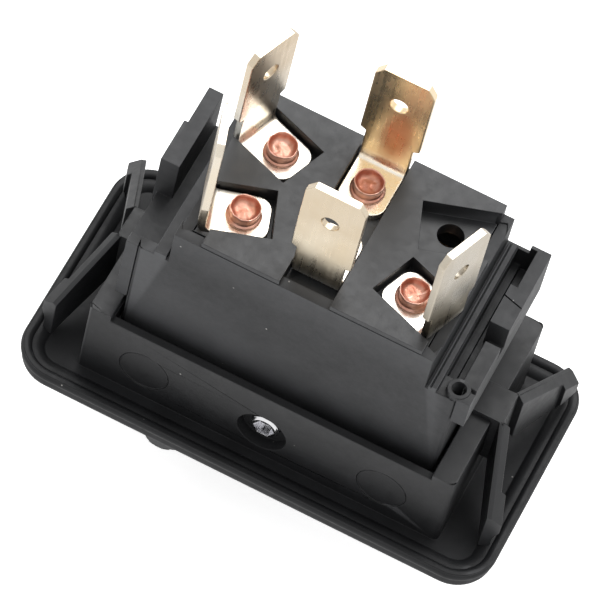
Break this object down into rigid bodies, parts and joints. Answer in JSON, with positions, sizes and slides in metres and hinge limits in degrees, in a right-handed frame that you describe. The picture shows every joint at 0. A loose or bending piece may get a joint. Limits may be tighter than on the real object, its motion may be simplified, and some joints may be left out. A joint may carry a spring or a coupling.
{
  "type": "snap-in rocker switch",
  "caption": "Black snap-in panel rocker switch with spring wings, screw-pinned momentary rocker and riveted 6.3 mm blade terminals standing on its back.",
  "frame": {"origin": "centre of the bezel's rear seating plane", "axes": "+X along the bezel's length, the finger lip of the rocker at -X; +Y along its width, away from the pivot screw's socket; +Z out of the back, along the terminals; the rocker faces -Z"},
  "size_m": [0.0516, 0.0274, 0.0518],
  "materials": {
    "bezel_plastic": "satin moulded nylon",
    "wing_plastic": "satin moulded nylon",
    "case_plastic": "satin moulded nylon",
    "base_plastic": "satin moulded nylon",
    "terminal_metal": "nickel-plated brass, pale champagne",
    "rivet_copper": "bare copper, peened",
    "contact_copper": "bare copper strip",
    "contact_silver": "silver contact face",
    "plunger_plastic": "natural acetal",
    "spring_steel": "bright spring wire",
    "rocker_plastic": "satin moulded nylon",
    "screw_chrome": "bright plated steel",
    "insert_brass": "turned brass"
  },
  "bodies": {
    "housing": {"bezel_frame": "bezel_plastic", "left_snap_wing": "wing_plastic", "right_snap_wing": "wing_plastic", "switch_case": "case_plastic", "terminal_base": "base_plastic", "front_left_terminal": "terminal_metal", "back_left_terminal": "terminal_metal", "front_middle_terminal": "terminal_metal", "back_middle_terminal": "terminal_metal", "front_right_terminal": "terminal_metal", "terminal_rivets": "rivet_copper", "fixed_contacts": "contact_copper", "fixed_buttons": "contact_silver", "front_fulcrum": "contact_copper", "rear_fulcrum": "contact_copper", "pivot_screw": "screw_chrome", "pivot_insert": "insert_brass"},
    "rocker": {"rocker": "rocker_plastic", "front_spring": "spring_steel", "rear_spring": "spring_steel"},
    "front_plunger": {"front_plunger": "plunger_plastic"},
    "rear_plunger": {"rear_plunger": "plunger_plastic"},
    "front_bridge": {"front_bridge": "contact_copper", "front_bridge_buttons": "contact_silver"},
    "rear_bridge": {"rear_bridge": "contact_copper", "rear_bridge_buttons": "contact_silver"}
  },
  "joints": [
    {"name": "rocker_tilt", "type": "hinge", "parent": "housing", "child": "rocker", "pos_m": [0, 0, 0.0028], "axis": [0, 1, 0], "range_deg": [-8, 8], "stiffness_Nm_per_rad": 0.12},
    {"name": "front_plunger_slide", "type": "slide", "parent": "rocker", "child": "front_plunger", "axis": [0, 0, -1], "range_m": [0, 0.0008], "stiffness_N_per_m": 900, "deforming": ["front_spring"]},
    {"name": "rear_plunger_slide", "type": "slide", "parent": "rocker", "child": "rear_plunger", "axis": [0, 0, -1], "range_m": [0, 0.0008], "stiffness_N_per_m": 900, "deforming": ["rear_spring"]},
    {"name": "front_bridge_tilt", "type": "hinge", "parent": "housing", "child": "front_bridge", "pos_m": [0, -0.00275, 0.0196], "axis": [0, 1, 0], "range_deg": [-4.8, 4.8]},
    {"name": "rear_bridge_tilt", "type": "hinge", "parent": "housing", "child": "rear_bridge", "pos_m": [0, 0.00545, 0.0196], "axis": [0, 1, 0], "range_deg": [-4.8, 4.8]}
  ],
  "couplings": [
    {"joint": "front_bridge_tilt", "follows": "rocker_tilt", "ratio": -0.6},
    {"joint": "rear_bridge_tilt", "follows": "rocker_tilt", "ratio": -0.6}
  ]
}
